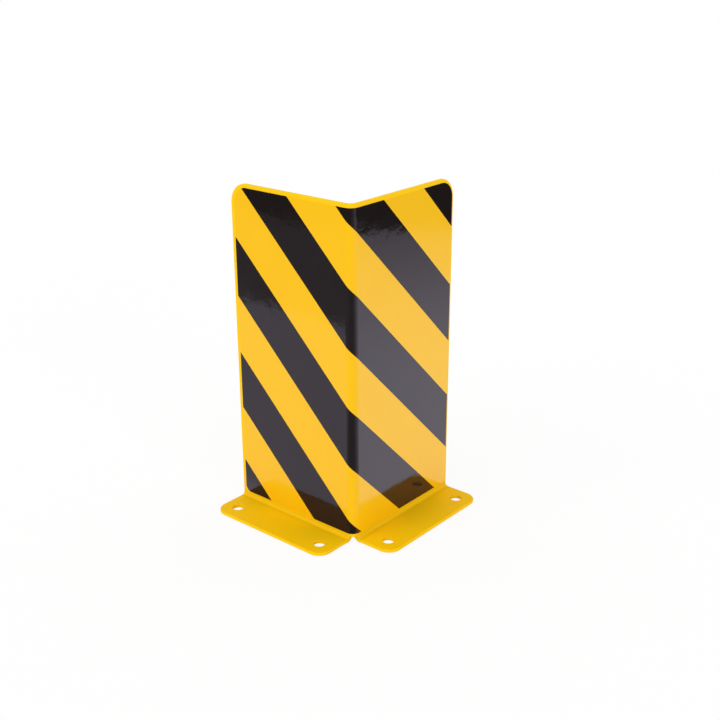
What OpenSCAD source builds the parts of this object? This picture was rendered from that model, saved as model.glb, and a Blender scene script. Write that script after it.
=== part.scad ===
// Rack column guard: one folded steel sheet with two walls, two floor feet and black film stripes.
// The outside of the corner points to -X and -Y, and the origin is the middle of the footprint on the floor.

/* [Sheet] */
// Height of the guard above the floor
guard_h = 400; // [250:5:600]
// Length of each wall, from the outside of the corner to its free end
wall_length = 180; // [140:1:300]
// Thickness of the steel sheet
sheet_t = 4; // [2:0.5:6]
// Inside radius of the corner fold
corner_fold_r = 6; // [4:0.5:10]
// Inside radius of the foot folds
foot_fold_r = 4; // [3:0.5:8]
// Radius of the rounding along the cut edges of the sheet
edge_r = 1; // [0.2:0.1:1.6]
// Radius of the free upper corner of each wall
wall_corner_r = 24; // [5:1:60]

/* [Feet] */
// Depth of each foot, from the outside of its wall
foot_depth = 50; // [42:1:90]
// Distance from the outside of the corner to the near end of each foot
foot_start = 6.5; // [5:0.5:16]
// Radius of the outer corners of each foot
foot_corner_r = 16; // [5:1:24]
// How far the corner fold reaches down between the two feet, from the lower edges of the walls
corner_lip = 2; // [1.5:0.5:4]

/* [Anchor holes] */
// Diameter of each anchor hole
hole_d = 14; // [8:0.5:20]
// Distance from a hole's centre to the long edge of its foot
hole_edge = 20; // [14:0.5:24]
// Distance from a hole's centre to the nearest end of its foot
hole_end = 20; // [14:0.5:40]

/* [Film stripes] */
// Width of each black stripe
stripe_w = 50; // [20:1:80]
// Distance from each stripe to the next, from edge to like edge
stripe_spacing = 100; // [85:1:160]
// Slope of the stripes against the floor
stripe_angle = 45; // [30:1:55]
// Fall from the guard's top to where the first stripe over the fold ends on the middle of that fold
stripe_drop = 24.5; // [0:0.5:100]
// Thickness of the film
film_t = 0.2; // [0.1:0.05:0.5]
// Distance from the film to the free end of the left wall
film_inset_left = 5; // [1:0.5:12]
// Distance from the film to the free end of the right wall
film_inset_right = 2.5; // [1:0.5:12]
// Distance from the film to the top of the guard
film_inset_top = 4.5; // [1:0.5:12]
// Distance from the film to the top of the foot folds
film_lift = 2.5; // [0:0.1:10]
// Radius of the film's lower corners
film_bottom_r = 8; // [2:1:30]

/* [Hidden] */
$fn = 96;
// How far a cut runs past the face that it cuts
cut_over = 1;
// Plate yellow and film black
plate_colour = [0.98, 0.74, 0.06];
film_colour = [0.08, 0.07, 0.07];

// Outside radii of the folds
corner_out_r = corner_fold_r + sheet_t;
foot_out_r = foot_fold_r + sheet_t;
// Height of the walls' lower edges, on top of the foot folds
wall_z = foot_out_r;
// The rounding leaves a flat between the two sides of a thin sheet
cut_r = min(edge_r, 0.4 * sheet_t);
// Shift from the outside of the corner to the middle of the footprint
centre_shift = (wall_length - foot_depth) / 2;

// The film is laid out flat: u runs along the sheet, from the middle of the corner fold to the right
half_turn = PI / 4 * corner_out_r;
wall_end_u = half_turn + wall_length - corner_out_r;
film_left = film_inset_left - wall_end_u;
film_right = wall_end_u - film_inset_right;
film_low = wall_z + film_lift;
film_high = guard_h - film_inset_top;
// The film's upper corners follow the upper corners of the walls
film_top_r = max(0, wall_corner_r - film_inset_top);

// A stripe's height and spacing measured straight up the wall, and its fall along the wall
stripe_slope = tan(stripe_angle);
stripe_rise = stripe_w / cos(stripe_angle);
stripe_pitch = stripe_spacing / cos(stripe_angle);
// A stripe that reaches less than this down or up into a corner of the film is left out
least_reach = 10;
top_reach = max(least_reach, film_top_r);
bottom_reach = max(least_reach, film_bottom_r);
// Row 0 is the first stripe over the fold
first_row = floor((guard_h - stripe_drop - stripe_slope * film_right - film_high + top_reach)
    / stripe_pitch) + 1;
last_row = ceil((guard_h - stripe_drop + stripe_rise - stripe_slope * film_left - film_low - bottom_reach)
    / stripe_pitch) - 1;
// Steps in which a stripe's edges go round the corner fold
fold_steps = 8;

function stripe_name(row) = str("film_stripe_", row - first_row + 1);

// Height of a stripe's lower edge at a place along the sheet
function stripe_low(row, u) = guard_h - stripe_drop - row * stripe_pitch - stripe_slope * u;

// Point at a place along the sheet, at a distance outside its outer face and at a height
function sheet_point(u, off, z) =
    let (bent = max(-half_turn, min(half_turn, u)))
    let (facing = 225 + 45 * bent / half_turn)
    let (out = [cos(facing), sin(facing), 0])
    let (along = [-out.y, out.x, 0])
    [corner_out_r, corner_out_r, z] + (corner_out_r + off) * out + (u - bent) * along;

// Waste outside a rounded corner; inward gives the signs that point into the panel
module corner_waste(corner, inward, r) {
    outer = corner - cut_over * inward;
    inner = corner + r * inward;
    difference() {
        polygon([outer, [inner.x, outer.y], inner, [outer.x, inner.y]]);
        translate(inner) circle(r);
    }
}

// Rectangle with a radius of its own at each corner, anticlockwise from the lower left; 0 leaves it square
module panel(low, high, radii) {
    difference() {
        translate(low) square(high - low);
        if (radii[0] > 0) corner_waste(low, [1, 1], radii[0]);
        if (radii[1] > 0) corner_waste([high.x, low.y], [-1, 1], radii[1]);
        if (radii[2] > 0) corner_waste(high, [-1, -1], radii[2]);
        if (radii[3] > 0) corner_waste([low.x, high.y], [1, -1], radii[3]);
    }
}

// Stands an outline up on the outside of the right wall: its x stays, its y points up, and it grows outwards
module stand_up(depth) {
    rotate([90, 0, 0]) linear_extrude(depth) children();
}

// Mirrors a right-hand part across the diagonal of the corner, into its place on the left
module to_left_wall() {
    mirror([1, -1, 0]) children();
}

// Section of the sheet, from a line inside it to a rounded cut edge
module edge_section(length) {
    panel([0, 0], [length, sheet_t], [0, cut_r, cut_r, 0]);
}

// Flat sheet along x, cut along its far side
module sheet_run(length, depth) {
    rotate([90, 0, 90]) linear_extrude(length) edge_section(depth);
}

// Cut end of such a sheet, from where its rounded corner starts
module sheet_end(depth, corner_r) {
    translate([0, depth - corner_r, 0]) {
        rotate([90, 0, 0]) linear_extrude(depth - corner_r) edge_section(corner_r);
        rotate_extrude(angle = 90) edge_section(corner_r);
    }
}

// Right wall, flat from the corner fold to its free end
module wall() {
    rise = guard_h - wall_z;
    run = wall_length - corner_out_r - wall_corner_r;
    translate([corner_out_r, sheet_t, wall_z]) rotate([90, 0, 0]) {
        sheet_run(run, rise);
        translate([run, 0, 0]) sheet_end(rise, wall_corner_r);
    }
}

// Flat part of the right foot, with two rounded corners
module flange() {
    depth = foot_depth - foot_fold_r;
    run = wall_length - foot_start - 2 * foot_corner_r;
    translate([foot_start + foot_corner_r, -foot_fold_r, 0]) mirror([0, 1, 0]) {
        sheet_run(run, depth);
        translate([run, 0, 0]) sheet_end(depth, foot_corner_r);
        mirror([1, 0, 0]) sheet_end(depth, foot_corner_r);
    }
}

// Fold between the right wall and its foot
module foot_fold() {
    near_end = max(foot_start, corner_out_r);
    translate([0, -foot_fold_r, foot_out_r]) rotate([0, 90, 0])
        rotate_extrude(angle = 90)
            panel([foot_fold_r, near_end], [foot_out_r, wall_length], [0, 0, cut_r, cut_r]);
}

// Section of the foot fold and the start of the flange, measured outwards from the outside of the wall
module heel_section() {
    intersection() {
        translate([foot_fold_r, foot_out_r]) difference() {
            circle(foot_out_r);
            circle(foot_fold_r);
        }
        translate([-sheet_t, 0]) square(foot_out_r);
    }
    translate([foot_fold_r, 0]) square([foot_fold_r, sheet_t]);
}

// Near end of the foot fold, which follows the corner fold
module heel() {
    intersection() {
        translate([corner_out_r, corner_out_r, 0])
            rotate_extrude(angle = 45, start = 225) translate([corner_out_r, 0]) heel_section();
        translate([foot_start, -foot_fold_r, 0])
            cube([corner_out_r - foot_start, corner_out_r + foot_fold_r, foot_out_r]);
    }
}

// Right foot with its anchor holes
module foot() {
    difference() {
        union() {
            flange();
            foot_fold();
            if (foot_start < corner_out_r) heel();
        }
        for (x = [foot_start + hole_end, wall_length - hole_end])
            translate([x, hole_edge - foot_depth, -cut_over])
                cylinder(d = hole_d, h = sheet_t + 2 * cut_over);
    }
}

// Sheet bent round the corner, between two heights; radii as for a panel
module bent_sheet(low, high, radii) {
    translate([corner_out_r, corner_out_r, low]) rotate_extrude(angle = 90, start = 180)
        translate([corner_fold_r, 0]) panel([0, 0], [sheet_t, high - low], radii);
}

// Corner fold; between the feet it reaches lower, down to the open corner
module corner_fold() {
    bent_sheet(wall_z, guard_h, [0, 0, cut_r, cut_r]);
    intersection() {
        bent_sheet(wall_z - corner_lip, wall_z, [cut_r, cut_r, 0, 0]);
        cube([foot_start, foot_start, wall_z]);
    }
}

module guard_plate() {
    color(plate_colour) translate([-centre_shift, -centre_shift, 0]) {
        corner_fold();
        wall();
        foot();
        to_left_wall() {
            wall();
            foot();
        }
    }
}

// Film on the right wall, flat from the corner fold to its free end
module film_on_wall(inset) {
    stand_up(film_t)
        panel([corner_out_r, film_low], [wall_length - inset, film_high], [0, film_bottom_r, film_top_r, 0]);
}

// The whole film, before the stripes are cut from it
module film() {
    film_on_wall(film_inset_right);
    to_left_wall() film_on_wall(film_inset_left);
    translate([corner_out_r, corner_out_r, film_low])
        rotate_extrude(angle = 90, start = 180)
            translate([corner_out_r, 0]) square([film_t, film_high - film_low]);
}

// Slanted ribbon along the sheet, deeper than the film on both sides, which marks out one stripe
module stripe_ribbon(row) {
    inner = -cut_over;
    outer = film_t + cut_over;
    reach = wall_end_u + cut_over;
    turns = [for (step = [0 : fold_steps]) (2 * step / fold_steps - 1) * half_turn];
    stations = concat([-reach], turns, [reach]);
    points = [
        for (u = stations)
            let (low = stripe_low(row, u))
            let (high = low + stripe_rise)
            each [
                sheet_point(u, inner, low),
                sheet_point(u, outer, low),
                sheet_point(u, outer, high),
                sheet_point(u, inner, high),
            ]
    ];
    last = 4 * (len(stations) - 1);
    sides = [
        for (first = [0 : 4 : last - 4], side = [0 : 3])
            let (a = first + side)
            let (b = first + (side + 1) % 4)
            each [[a, b, b + 4], [a, b + 4, a + 4]]
    ];
    polyhedron(points, concat([[3, 2, 1, 0]], sides, [[last, last + 1, last + 2, last + 3]]));
}

module film_stripe(row) {
    color(film_colour) translate([-centre_shift, -centre_shift, 0]) intersection() {
        film();
        stripe_ribbon(row);
    }
}

guard_plate();
for (row = [first_row : last_row])
    film_stripe(row);
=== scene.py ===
# Rack column guard: finishes, floor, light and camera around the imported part, in metres
import math

import bpy
from mathutils import Matrix, Vector


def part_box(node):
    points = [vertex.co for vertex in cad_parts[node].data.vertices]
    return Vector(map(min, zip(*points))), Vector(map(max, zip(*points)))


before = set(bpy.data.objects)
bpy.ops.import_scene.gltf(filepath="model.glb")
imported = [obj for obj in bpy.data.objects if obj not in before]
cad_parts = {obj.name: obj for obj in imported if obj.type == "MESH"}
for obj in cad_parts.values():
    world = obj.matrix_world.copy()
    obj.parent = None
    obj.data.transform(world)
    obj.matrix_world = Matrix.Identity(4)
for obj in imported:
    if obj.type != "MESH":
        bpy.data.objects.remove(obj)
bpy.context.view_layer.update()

PLATE = "guard_plate"
STRIPES = [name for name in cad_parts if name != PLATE]

# Striped field on the outside of the walls, as far as the stripes reach
stripe_boxes = [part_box(name) for name in STRIPES]
FIELD_LOW = min(low.z for low, high in stripe_boxes)
FIELD_HIGH = max(high.z for low, high in stripe_boxes)
FIELD_RIGHT_END = max(high.x for low, high in stripe_boxes)
FIELD_LEFT_END = max(high.y for low, high in stripe_boxes)
FIELD_UPPER_CORNER = 0.0195
FIELD_LOWER_CORNER = 0.008
FIELD_SEAM = 0.0003

# Plate: its sheet, the outside of both walls under the film, and the fold between them
SHEET_THICKNESS = 0.004
SHEET_SKIN = 0.001
FILM_THICKNESS = 0.0002
WALL_OUTSIDE = min(low.x for low, high in stripe_boxes) + FILM_THICKNESS
FOLD_INSIDE = 0.006
FOLD_OUTSIDE = FOLD_INSIDE + SHEET_THICKNESS
FOOT_TOP = SHEET_THICKNESS

# Satin yellow coat, in linear colour: two close shades that drift into each other
COAT_DEEP = (0.865, 0.520, 0.001, 1.0)
COAT_BRIGHT = (0.915, 0.555, 0.002, 1.0)
COAT_ROUGHNESS = 0.46
COAT_ROUGHNESS_DRIFT = 0.08
COAT_SPECULAR = 0.08
COAT_PEEL_SIZE = 0.0022
COAT_PEEL_DEPTH = 0.000025
DRIFT_SIZE = 0.06
DRIFT_DETAIL = 3.0

# Painted shade inside the folds at the feet: distances from the corner where it starts to fade and is
# gone
FOLD_PAINTED_SHADE_COLOUR = (0.795, 0.478, 0.001, 1.0)
FOLD_PAINTED_SHADE_REACH = (0.0028, 0.0095)

# Striped field: a shade warmer than the coat, under a clear gloss
FIELD_DEEP = (0.865, 0.478, 0.001, 1.0)
FIELD_BRIGHT = (0.905, 0.508, 0.002, 1.0)
FIELD_GLOSS_ROUGHNESS = 0.12
FIELD_GLOSS_IOR = 1.5

# Black film, in linear colour
FILM_DEEP = (0.0105, 0.0078, 0.0070, 1.0)
FILM_WORN = (0.0145, 0.0110, 0.0100, 1.0)
FILM_TINT = (0.86, 0.77, 1.0, 1.0)
FILM_IOR = 1.8
FILM_ROUGHNESS = 0.05
FILM_ROUGHNESS_DRIFT = 0.04
FILM_MOTTLE_SIZE = 0.03
FILM_MOTTLE_DETAIL = 4.0
FILM_RIPPLE_SIZE = 0.012
FILM_RIPPLE_DEPTH = 0.00011

# Floor
FLOOR_HALF = 40.0
FLOOR_DROP = 0.0003
FLOOR_COLOUR = (0.93, 0.93, 0.93, 1.0)
FLOOR_GLOW = 0.85

# Light: an even sky, a key from the left and a low fill from the right
WHITE = (1.0, 1.0, 1.0, 1.0)
SKY_STRENGTH = 0.85
KEY_FROM = (-0.69, 0.20, 0.51)
KEY_STRENGTH = 0.88
KEY_SPREAD = math.radians(40)
FILL_FROM = (-0.25, -0.95, 0.18)
FILL_STRENGTH = 0.66
FILL_SPREAD = math.radians(30)

# Dark surround of painted shade, seen only in mirror images: the shade of each side, and where it begins
# and is whole
BLACK = (0.0, 0.0, 0.0, 1.0)
SURROUND_HALF = 6.0
SURROUND_LIFT = 0.001
FRONT_SHADE = 0.93
FRONT_EDGE = (0.10, 0.16)
FRONT_FACING = math.radians(217)
FRONT_TURN = (math.radians(15), math.radians(115))
LEFT_NEAR_SHADE = 0.50
LEFT_NEAR_EDGE = (0.05, 0.12)
LEFT_FAR_SHADE = 0.88
LEFT_FAR_EDGE = (0.585, 0.635)
LEFT_END = (1.00, 1.12)
RIGHT_NEAR_SHADE = 0.55
RIGHT_NEAR_EDGE = (0.60, 2.15)
RIGHT_END = (1.88, 1.98)

# The same surround as a painted shadow in the holes of the feet: it ends just within the feet and begins
# at the walls
HOLE_SHADE = 0.75
HOLE_SHADE_END = (0.112, 0.1145)
HOLE_SHADE_EDGE = (0.050, 0.060)

# Tinted sheets close above the feet, which only mirror images show, as painted shade on the feet's mirror
# images
FOOT_SHADE_SHEET_GAP = 0.0002
LEFT_FOOT_TINT = (0.36, 0.25, 0.10, 1.0)
RIGHT_FOOT_TINT = (0.92, 0.70, 0.30, 1.0)

# Camera
PHOTO_SIDE = 720
VIEW_AIM = Vector((-0.005, -0.005, 0.2))
VIEW_AZIMUTH = math.radians(-49.10)
VIEW_ELEVATION = math.radians(21.22)
VIEW_ROLL = math.radians(-0.475)
VIEW_DISTANCE = 1.317
VIEW_FOCUS_PIXELS = 1132.0
VIEW_AXIS_PIXEL = (346.9, 356.3)


class Signal:
    """A node's output. Operators on it add Math nodes: | takes the larger value and & the smaller."""

    def __init__(self, finish, socket):
        self.finish = finish
        self.socket = socket

    def __add__(self, other):
        return self.finish.maths("ADD", self, other)

    def __radd__(self, other):
        return self.finish.maths("ADD", other, self)

    def __sub__(self, other):
        return self.finish.maths("SUBTRACT", self, other)

    def __rsub__(self, other):
        return self.finish.maths("SUBTRACT", other, self)

    def __mul__(self, other):
        return self.finish.maths("MULTIPLY", self, other)

    def __rmul__(self, other):
        return self.finish.maths("MULTIPLY", other, self)

    def __pow__(self, other):
        return self.finish.maths("POWER", self, other)

    def __rpow__(self, other):
        return self.finish.maths("POWER", other, self)

    def __neg__(self):
        return self.finish.maths("MULTIPLY", self, -1.0)

    def __abs__(self):
        return self | -self

    def __or__(self, other):
        return self.finish.maths("MAXIMUM", self, other)

    def __ror__(self, other):
        return self.finish.maths("MAXIMUM", other, self)

    def __and__(self, other):
        return self.finish.maths("MINIMUM", self, other)

    def __rand__(self, other):
        return self.finish.maths("MINIMUM", other, self)


class Finish:
    """The node tree of a material or of the world, while it is put together."""

    def __init__(self, owner):
        owner.use_nodes = True
        self.owner = owner
        self.tree = owner.node_tree
        self.tree.nodes.clear()

    def node(self, kind, settings=None, sockets=None, output=0):
        """Adds a node with its settings, then its sockets' values or links, and returns one output."""
        made = self.tree.nodes.new(kind)
        for name, value in (settings or {}).items():
            setattr(made, name, value)
        for name, value in (sockets or {}).items():
            if isinstance(value, Signal):
                self.tree.links.new(value.socket, made.inputs[name])
            else:
                made.inputs[name].default_value = value
        return Signal(self, made.outputs[output]) if made.outputs else None

    def maths(self, operation, first, second):
        return self.node("ShaderNodeMath", {"operation": operation}, {0: first, 1: second})

    def place(self):
        return self.node("ShaderNodeTexCoord", output="Object")

    def axes(self, place, names="XYZ"):
        """The named coordinates of a place."""
        sockets = {"Vector": place}
        return [self.node("ShaderNodeSeparateXYZ", sockets=sockets, output=axis) for axis in names]

    def noise(self, place, size, detail=2.0):
        """Soft noise from 0 to 1, with spots about as large as size."""
        sockets = {"Vector": place, "Scale": 1 / size, "Detail": detail}
        return self.node("ShaderNodeTexNoise", sockets=sockets)

    def rise(self, value, low, high):
        """0 up to low, 1 from high on, and smooth in between."""
        return self.node(
            "ShaderNodeMapRange",
            {"interpolation_type": "SMOOTHSTEP"},
            {"Value": value, "From Min": low, "From Max": high},
        )

    def between(self, share, first, second):
        """Colour that goes from first to second with share."""
        sockets = {0: share, 6: first, 7: second}
        return self.node("ShaderNodeMix", {"data_type": "RGBA"}, sockets, output=2)

    def bump(self, height, depth):
        return self.node("ShaderNodeBump", sockets={"Height": height, "Distance": depth})

    def mixed(self, share, first, second):
        """Shader that goes from first to second with share."""
        return self.node("ShaderNodeMixShader", sockets={0: share, 1: first, 2: second})

    def seen(self):
        """1 for the camera, in mirror images and through glass, and 0 for the light on the guard."""
        camera, gloss, glass = (
            self.node("ShaderNodeLightPath", output=name)
            for name in ("Is Camera Ray", "Is Glossy Ray", "Is Transmission Ray")
        )
        return camera | gloss | glass

    def surface(self, shader):
        """Ends a material with its shader and returns the material."""
        self.node("ShaderNodeOutputMaterial", sockets={"Surface": shader})
        return self.owner


def diagonal(a, b):
    """Length of the diagonal over two sides, as signals."""
    return (a * a + b * b) ** 0.5


def striped_field(coat, place):
    """1 on the outside of the walls within the outline of the striped field, and 0 elsewhere."""
    x, y, z = coat.axes(place)
    fold_centre = WALL_OUTSIDE + FOLD_OUTSIDE
    outward = diagonal((fold_centre - x) | 0.0, (fold_centre - y) | 0.0)
    outside = coat.rise(outward, FOLD_OUTSIDE - 2 * SHEET_SKIN, FOLD_OUTSIDE - SHEET_SKIN)
    to_end = (FIELD_RIGHT_END - x) & (FIELD_LEFT_END - y)

    def inside_corner(to_edge, radius):
        return radius - diagonal((radius - to_end) | 0.0, (radius - to_edge) | 0.0)

    upper = inside_corner(FIELD_HIGH - z, FIELD_UPPER_CORNER)
    lower = inside_corner(z - FIELD_LOW, FIELD_LOWER_CORNER)
    return outside & coat.rise(upper & lower, 0.0, FIELD_SEAM)


def fold_painted_shade_mask(coat, place):
    """1 in the corner between a wall and its foot, falling to 0 along both: where shade is painted into
    the coat.
    """
    x, y, z = coat.axes(place)
    from_wall = abs(x - WALL_OUTSIDE) & abs(y - WALL_OUTSIDE)
    return 1 - coat.rise(from_wall + abs(z - FOOT_TOP), *FOLD_PAINTED_SHADE_REACH)


def yellow_coat():
    """Satin coat with a fine peel, warmer and under a clear gloss in the striped field, with painted
    shade in the folds at the feet.
    """
    coat = Finish(bpy.data.materials.new("yellow_coat"))
    place = coat.place()
    field = striped_field(coat, place)
    drift = coat.noise(place, DRIFT_SIZE, DRIFT_DETAIL)
    plain = coat.between(drift, COAT_DEEP, COAT_BRIGHT)
    warm = coat.between(drift, FIELD_DEEP, FIELD_BRIGHT)
    even = coat.between(field, plain, warm)
    return coat.surface(coat.node("ShaderNodeBsdfPrincipled", sockets={
        # Painted shade: the coat's colour darkens inside the folds at the feet
        "Base Color": coat.between(fold_painted_shade_mask(coat, place), even, FOLD_PAINTED_SHADE_COLOUR),
        "Roughness": COAT_ROUGHNESS + COAT_ROUGHNESS_DRIFT * drift,
        "Specular IOR Level": COAT_SPECULAR,
        "Coat Weight": field,
        "Coat Roughness": FIELD_GLOSS_ROUGHNESS,
        "Coat IOR": FIELD_GLOSS_IOR,
        "Normal": coat.bump(coat.noise(place, COAT_PEEL_SIZE), COAT_PEEL_DEPTH),
    }))


def black_film():
    """Gloss film that lies on the coat with faint ripples."""
    film = Finish(bpy.data.materials.new("black_film"))
    place = film.place()
    mottle = film.noise(place, FILM_MOTTLE_SIZE, FILM_MOTTLE_DETAIL)
    return film.surface(film.node("ShaderNodeBsdfPrincipled", sockets={
        "Base Color": film.between(mottle, FILM_DEEP, FILM_WORN),
        "Roughness": FILM_ROUGHNESS + FILM_ROUGHNESS_DRIFT * mottle,
        "IOR": FILM_IOR,
        "Specular Tint": FILM_TINT,
        "Normal": film.bump(film.noise(place, FILM_RIPPLE_SIZE), FILM_RIPPLE_DEPTH),
    }))


def pale_floor_finish():
    """White for the camera and in mirror images, with the guard's shadow left faintly on it."""
    floor = Finish(bpy.data.materials.new("pale_floor"))
    matt = floor.node("ShaderNodeBsdfDiffuse", sockets={"Color": FLOOR_COLOUR})
    glow = floor.node("ShaderNodeEmission", sockets={"Color": WHITE})
    return floor.surface(floor.mixed(FLOOR_GLOW * floor.seen(), matt, glow))


def painted_shade_surround_finish():
    """Clear over a patch of floor around the guard, with painted shade past its edges and a painted
    shadow in the feet's holes.
    """
    dark = Finish(bpy.data.materials.new("painted_shade_surround"))
    x, y = dark.axes(dark.place(), "XY")
    ahead = math.cos(FRONT_FACING) * x + math.sin(FRONT_FACING) * y
    aside = math.sin(FRONT_FACING) * x - math.cos(FRONT_FACING) * y
    turn = abs(dark.maths("ARCTAN2", aside, ahead))
    # Painted shade on the mirrored floor: in front, on the left and on the right
    front = FRONT_SHADE * (1 - dark.rise(turn, *FRONT_TURN)) * dark.rise(-x - y, *FRONT_EDGE)
    left_near = LEFT_NEAR_SHADE * dark.rise(-x, *LEFT_NEAR_EDGE)
    left_far = LEFT_FAR_SHADE * dark.rise(-x, *LEFT_FAR_EDGE)
    left = left_near | left_far | dark.rise(-x, *LEFT_END)
    right_near = RIGHT_NEAR_SHADE * dark.rise(x - y, *RIGHT_NEAR_EDGE)
    right = right_near | dark.rise(x - y, *RIGHT_END)
    # Painted shadow of the feet, seen through their holes in mirror images
    within_feet = 1 - dark.rise(abs(x) | abs(y), *HOLE_SHADE_END)
    holes = (HOLE_SHADE * within_feet) & dark.rise(-x | -y, *HOLE_SHADE_EDGE)
    clear = dark.node("ShaderNodeBsdfTransparent")
    black = dark.node("ShaderNodeBsdfDiffuse", sockets={"Color": BLACK})
    return dark.surface(dark.mixed(front | left | right | holes, clear, black))


def reflection_shade_finish(name, tint):
    """Clear apart from its tint, which paints shade onto what is mirrored through it."""
    glass = Finish(bpy.data.materials.new(name))
    return glass.surface(glass.node("ShaderNodeBsdfTransparent", sockets={"Color": tint}))


def flat_sheet(name, low, high, height, material):
    """A rectangle of the stage from its low to its high corner, flat at one height."""
    outline = (low, (high[0], low[1]), high, (low[0], high[1]))
    mesh = bpy.data.meshes.new(name)
    mesh.from_pydata([(x, y, height) for x, y in outline], [], [(0, 1, 2, 3)])
    mesh.materials.append(material)
    sheet = bpy.data.objects.new(name, mesh)
    bpy.context.scene.collection.objects.link(sheet)
    return sheet


def square_sheet(name, half, height, material):
    """A square of the stage, centred on the guard and flat at one height."""
    return flat_sheet(name, (-half, -half), (half, half), height, material)


def mirrored_only(sheet):
    """Leaves a sheet to be seen in mirror images alone."""
    sheet.visible_camera = False
    sheet.visible_diffuse = False
    sheet.visible_transmission = False
    sheet.visible_shadow = False


def pale_floor():
    square_sheet("pale_floor", FLOOR_HALF, -FLOOR_DROP, pale_floor_finish())


def painted_shade_surround():
    """Leaves the gloss only a patch of the pale floor to mirror, with painted shade around it."""
    mirrored_only(square_sheet("painted_shade_surround", SURROUND_HALF, SURROUND_LIFT, painted_shade_surround_finish()))


def feet_reflection_shade():
    """A tinted sheet over each foot, which paints shade onto the foot's mirror image in the stripes."""
    low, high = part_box(PLATE)
    height = FOOT_TOP + FOOT_SHADE_SHEET_GAP
    for name, near, far, tint in (
        ("left_foot_reflection_shade", (low.x, low.y), (WALL_OUTSIDE, high.y), LEFT_FOOT_TINT),
        ("right_foot_reflection_shade", (WALL_OUTSIDE, low.y), (high.x, WALL_OUTSIDE), RIGHT_FOOT_TINT),
    ):
        mirrored_only(flat_sheet(name, near, far, height, reflection_shade_finish(name, tint)))


def soft_sky():
    """Even light from all around, white where it is seen."""
    world = bpy.data.worlds.new("soft_sky")
    bpy.context.scene.world = world
    sky = Finish(world)
    strength = SKY_STRENGTH + (1 - SKY_STRENGTH) * sky.seen()
    light = sky.node("ShaderNodeBackground", sockets={"Color": WHITE, "Strength": strength})
    sky.node("ShaderNodeOutputWorld", sockets={"Surface": light})


def soft_lamp(name, source, strength, spread):
    """A lamp so far off that its light comes from one side, as wide as spread."""
    lamp = bpy.data.lights.new(name, "SUN")
    lamp.energy = strength
    lamp.angle = spread
    holder = bpy.data.objects.new(name, lamp)
    holder.rotation_euler = Vector(source).to_track_quat("Z", "Y").to_euler()
    bpy.context.scene.collection.objects.link(holder)


def photo_camera():
    """The camera of the photograph, which looks at the guard with its own tilt, lens and framing."""
    flat = math.cos(VIEW_ELEVATION)
    back = Vector((
        math.sin(VIEW_AZIMUTH) * flat,
        -math.cos(VIEW_AZIMUTH) * flat,
        math.sin(VIEW_ELEVATION),
    ))
    right = Vector((math.cos(VIEW_AZIMUTH), math.sin(VIEW_AZIMUTH), 0.0))
    facing = Matrix((right, back.cross(right), back)).transposed().to_4x4()
    lens = bpy.data.cameras.new("photo_camera")
    lens.lens = lens.sensor_width * VIEW_FOCUS_PIXELS / PHOTO_SIDE
    axis_x, axis_y = VIEW_AXIS_PIXEL
    lens.shift_x = (PHOTO_SIDE / 2 - axis_x) / PHOTO_SIDE
    lens.shift_y = (axis_y - PHOTO_SIDE / 2) / PHOTO_SIDE
    camera = bpy.data.objects.new("photo_camera", lens)
    place = Matrix.Translation(VIEW_AIM + VIEW_DISTANCE * back)
    camera.matrix_world = place @ facing @ Matrix.Rotation(VIEW_ROLL, 4, "Z")
    bpy.context.scene.collection.objects.link(camera)
    bpy.context.scene.camera = camera


def dress_guard():
    """Puts the coat on the plate and the film's finish on every stripe."""
    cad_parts[PLATE].material_slots[0].material = yellow_coat()
    film = black_film()
    for name in STRIPES:
        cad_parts[name].material_slots[0].material = film


dress_guard()
pale_floor()
painted_shade_surround()
feet_reflection_shade()
soft_sky()
soft_lamp("key_lamp", KEY_FROM, KEY_STRENGTH, KEY_SPREAD)
soft_lamp("fill_lamp", FILL_FROM, FILL_STRENGTH, FILL_SPREAD)
photo_camera()
bpy.context.scene.view_settings.view_transform = "Standard"
